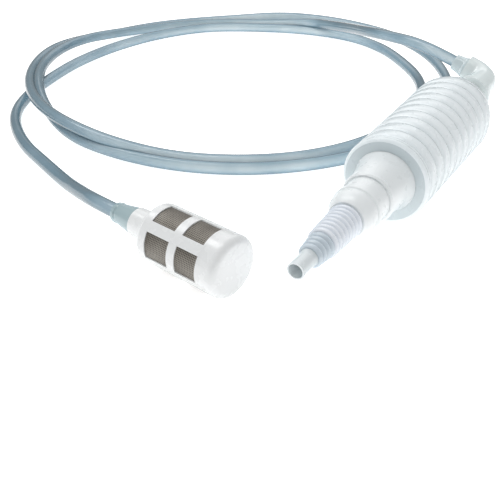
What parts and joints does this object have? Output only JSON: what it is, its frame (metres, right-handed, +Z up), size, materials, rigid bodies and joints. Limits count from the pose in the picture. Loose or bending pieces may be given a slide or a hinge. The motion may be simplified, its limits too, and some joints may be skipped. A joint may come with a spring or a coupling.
{
  "type": "auto siphon",
  "caption": "Hand siphon pump: ribbed squeeze bulb with inlet and outlet ball valves, a bendable nozzle, a swivelling elbow, a clear hose in loose turns and a mesh strainer.",
  "frame": {"origin": "on the floor under the middle of the pump, elbow included", "axes": "+Y along the pump from its spout to its elbow, +Z up, the hose's turns lie toward -X"},
  "size_m": [0.2825, 0.3084, 0.0385],
  "materials": {
    "bulb_plastic": "soft white semi-gloss",
    "white_plastic": "moulded white semi-gloss",
    "neck_plastic": "soft white semi-gloss",
    "nozzle_plastic": "translucent grey-blue",
    "spout_plastic": "translucent white",
    "elbow_plastic": "translucent, faintly green",
    "sleeve_plastic": "translucent pale teal",
    "cage_plastic": "moulded white gloss",
    "mesh_wire": "fine woven mesh, dull",
    "washer_rubber": "matte grey",
    "ball_steel": "polished ball",
    "clear_hose": "clear, blue-grey at the edges, glossy"
  },
  "bodies": {
    "hose_line": {"elbow": "elbow_plastic", "elbow_sleeve": "sleeve_plastic", "hose_lead": "clear_hose", "hose_coil": "clear_hose", "hose_tail": "clear_hose", "strainer_sleeve": "sleeve_plastic", "strainer_head": "cage_plastic", "strainer_cage": "cage_plastic", "strainer_mesh": "mesh_wire", "strainer_cap": "cage_plastic"},
    "pump_rear": {"rear_plug": "white_plastic", "neck_clamp": "white_plastic", "inlet_seat": "white_plastic", "inlet_stop": "white_plastic", "bellows_bulb": "bulb_plastic"},
    "inlet_ball": {"inlet_ball": "ball_steel"},
    "front": {"front_adapter": "white_plastic", "front_washer": "washer_rubber", "lock_ring": "white_plastic", "outlet_seat": "white_plastic", "outlet_stop": "white_plastic", "coupling": "white_plastic"},
    "outlet_ball": {"outlet_ball": "ball_steel"},
    "neck": {"ribbed_neck": "neck_plastic"},
    "nozzle": {"nozzle_tube": "nozzle_plastic", "spout": "spout_plastic"}
  },
  "joints": [
    {"name": "elbow_swivel", "type": "hinge", "parent": "hose_line", "child": "pump_rear", "pos_m": [0, 0.081, 0.0193], "axis": [0, 1, 0], "range_deg": [-90, 90]},
    {"name": "pump_stroke", "type": "slide", "parent": "pump_rear", "child": "front", "axis": [0, 1, 0], "range_m": [0, 0.018], "stiffness_N_per_m": 300, "deforming": ["bellows_bulb"]},
    {"name": "inlet_ball_lift", "type": "slide", "parent": "pump_rear", "child": "inlet_ball", "axis": [0, -1, 0], "range_m": [0, 0.0025]},
    {"name": "outlet_ball_lift", "type": "slide", "parent": "front", "child": "outlet_ball", "axis": [0, -1, 0], "range_m": [0, 0.0025]},
    {"name": "nozzle_turn", "type": "hinge", "parent": "front", "child": "neck", "pos_m": [0, -0.0694, 0.0193], "axis": [0, 1, 0], "continuous": true},
    {"name": "spout_bend", "type": "hinge", "parent": "neck", "child": "nozzle", "pos_m": [0, -0.0788, 0.0193], "axis": [1, 0, 0], "range_deg": [-25, 25], "stiffness_Nm_per_rad": 0.15, "deforming": ["ribbed_neck"]}
  ]
}
